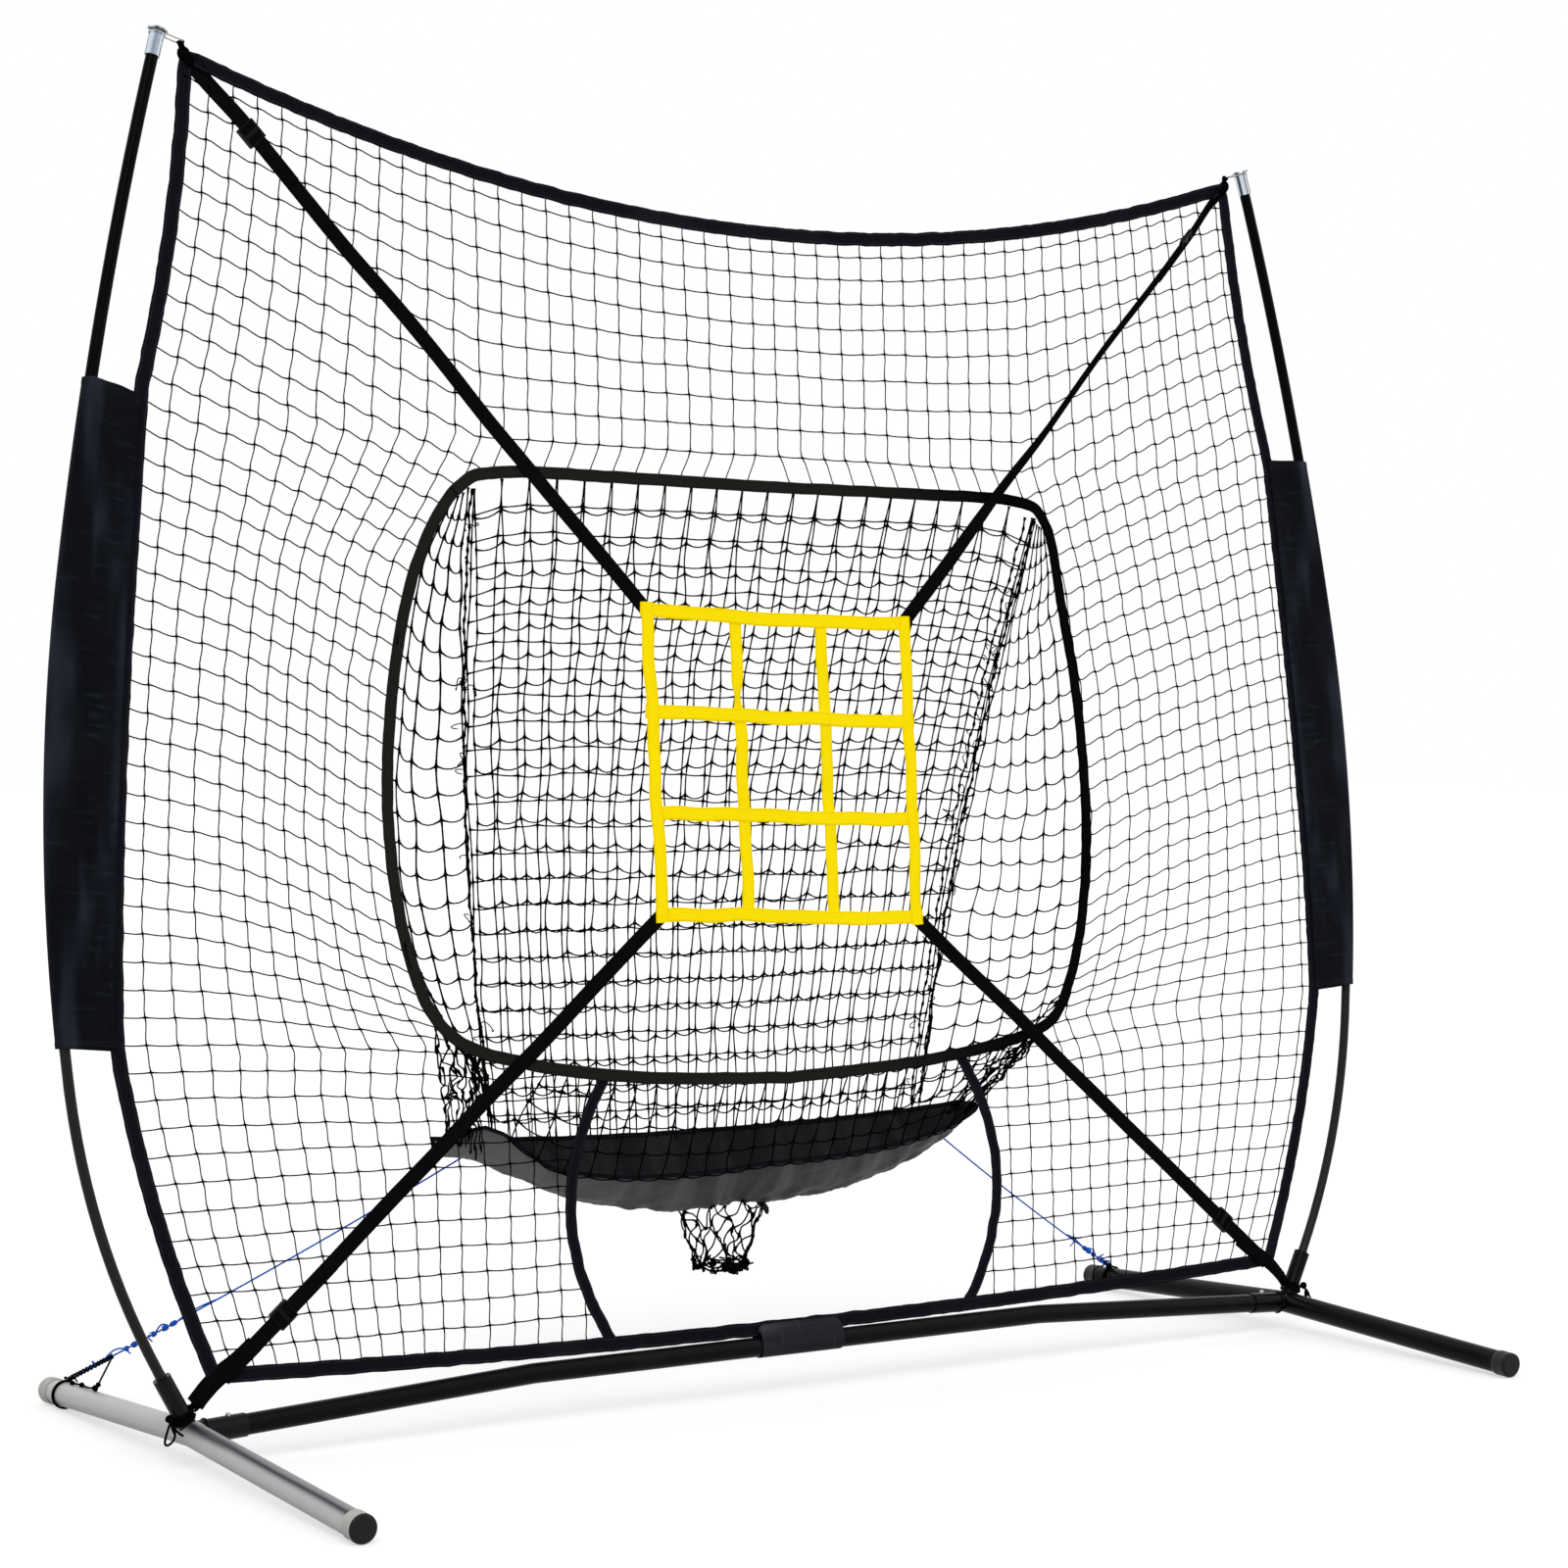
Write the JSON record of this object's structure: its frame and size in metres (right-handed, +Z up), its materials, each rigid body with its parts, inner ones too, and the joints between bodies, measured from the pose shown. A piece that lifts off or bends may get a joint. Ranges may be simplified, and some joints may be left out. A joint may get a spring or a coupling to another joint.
{
  "type": "pitching target net",
  "caption": "Free-standing bow-frame ball net with a catching pocket, ball tray and chute, and a yellow windowed strike zone hung on corner straps.",
  "frame": {"origin": "on the floor midway between the two feet, under the pivot line of the leaning net", "axes": "+Z up, +X to the right as the pitcher sees it, +Y away from the pitcher"},
  "size_m": [2.5506, 1.1218, 2.1283],
  "materials": {
    "tube_black": "black powder coat, slightly glossy",
    "tube_grey": "grey powder coat with a worn dark streak",
    "cap_rubber": "dull moulded rubber",
    "button_steel": "plated steel",
    "spring_steel": "bare spring steel",
    "rod_fibreglass": "gloss resin over glass fibre",
    "chrome": "bright chrome",
    "link_wire": "plated wire",
    "elastic_black": "braided elastic cord",
    "tape_black": "woven polyester tape with lock stitch",
    "sleeve_nylon": "coated nylon cloth, slightly shiny",
    "strap_webbing": "ribbed polyester webbing",
    "slider_plastic": "moulded acetal",
    "zone_webbing": "yellow ribbed webbing",
    "tray_nylon": "coated nylon cloth, wrinkled",
    "cord_blue": "braided blue cord",
    "tie_cord": "braided black cord",
    "net_mesh": "knotted black polyethylene twine"
  },
  "bodies": {
    "stand": {"foot_left": "tube_grey", "foot_right": "tube_black", "foot_cap_left_front": "cap_rubber", "foot_cap_left_rear": "cap_rubber", "foot_cap_right_front": "cap_rubber", "foot_cap_right_rear": "cap_rubber", "crossbar_left": "tube_black", "crossbar_right": "tube_black", "crossbar_coupler": "tube_black", "button_spring_left": "spring_steel", "button_spring_right": "spring_steel", "lower_pole_left": "rod_fibreglass", "lower_pole_right": "rod_fibreglass", "upper_pole_left": "tube_black", "upper_pole_right": "tube_black", "tip_ferrule_left": "chrome", "tip_ferrule_right": "chrome", "corner_tab_left": "tape_black", "corner_tab_right": "tape_black", "corner_tie_left": "elastic_black", "corner_tie_right": "elastic_black", "net_top": "net_mesh", "net_left": "net_mesh", "net_right": "net_mesh", "net_bottom_left": "net_mesh", "net_bottom_right": "net_mesh", "hem_top": "tape_black", "hem_bottom": "tape_black", "hem_left": "tape_black", "hem_right": "tape_black", "pocket_binding": "tape_black", "arch_band_left": "tape_black", "arch_band_right": "tape_black", "pole_sleeve_left": "sleeve_nylon", "pole_sleeve_right": "sleeve_nylon", "crossbar_wrap": "sleeve_nylon", "strap_top_left": "strap_webbing", "strap_top_right": "strap_webbing", "strap_bottom_left": "strap_webbing", "strap_bottom_right": "strap_webbing", "strike_zone": "zone_webbing", "pocket_back": "net_mesh", "pocket_side_left": "net_mesh", "pocket_side_right": "net_mesh", "pocket_apron": "net_mesh", "ball_tray": "tray_nylon", "ball_chute": "net_mesh", "guy_cord_left": "cord_blue", "guy_cord_right": "cord_blue", "guy_ties": "tie_cord"},
    "corner_link_left_body": {"corner_link_left": "link_wire"},
    "corner_link_right_body": {"corner_link_right": "link_wire"},
    "slider_bottom_left_body": {"slider_bottom_left": "slider_plastic"},
    "slider_bottom_right_body": {"slider_bottom_right": "slider_plastic"},
    "slider_top_left_body": {"slider_top_left": "slider_plastic"},
    "slider_top_right_body": {"slider_top_right": "slider_plastic"},
    "snap_button_left_body": {"snap_button_left": "button_steel"},
    "snap_button_right_body": {"snap_button_right": "button_steel"}
  },
  "joints": [
    {"name": "snap_button_left_press", "type": "slide", "parent": "stand", "child": "snap_button_left_body", "axis": [-0.0525, 0, 0.9986], "range_m": [-0.0045, 0], "stiffness_N_per_m": 600, "springref_m": 0.002, "deforming": ["button_spring_left"]},
    {"name": "snap_button_right_press", "type": "slide", "parent": "stand", "child": "snap_button_right_body", "axis": [0.0525, 0, 0.9986], "range_m": [-0.0045, 0], "stiffness_N_per_m": 600, "springref_m": 0.002, "deforming": ["button_spring_right"]},
    {"name": "corner_link_left_turn", "type": "hinge", "parent": "stand", "child": "corner_link_left_body", "pos_m": [-1.06991, 0.14111, 2.11909], "axis": [0.2546, 0.0658, 0.9648], "range_deg": [-3, 3]},
    {"name": "corner_link_right_turn", "type": "hinge", "parent": "stand", "child": "corner_link_right_body", "pos_m": [1.06991, 0.14111, 2.11909], "axis": [-0.2546, 0.0658, 0.9648], "range_deg": [-3, 3]},
    {"name": "slider_top_left_slide", "type": "slide", "parent": "stand", "child": "slider_top_left_body", "axis": [0.6872, -0.0494, -0.7248], "range_m": [-0.03, 0.12]},
    {"name": "slider_top_right_slide", "type": "slide", "parent": "stand", "child": "slider_top_right_body", "axis": [-0.6872, -0.0494, -0.7248], "range_m": [-0.03, 0.12]},
    {"name": "slider_bottom_left_slide", "type": "slide", "parent": "stand", "child": "slider_bottom_left_body", "axis": [0.7631, 0.044, 0.6448], "range_m": [-0.03, 0.12]},
    {"name": "slider_bottom_right_slide", "type": "slide", "parent": "stand", "child": "slider_bottom_right_body", "axis": [-0.7631, 0.044, 0.6448], "range_m": [-0.03, 0.12]}
  ]
}
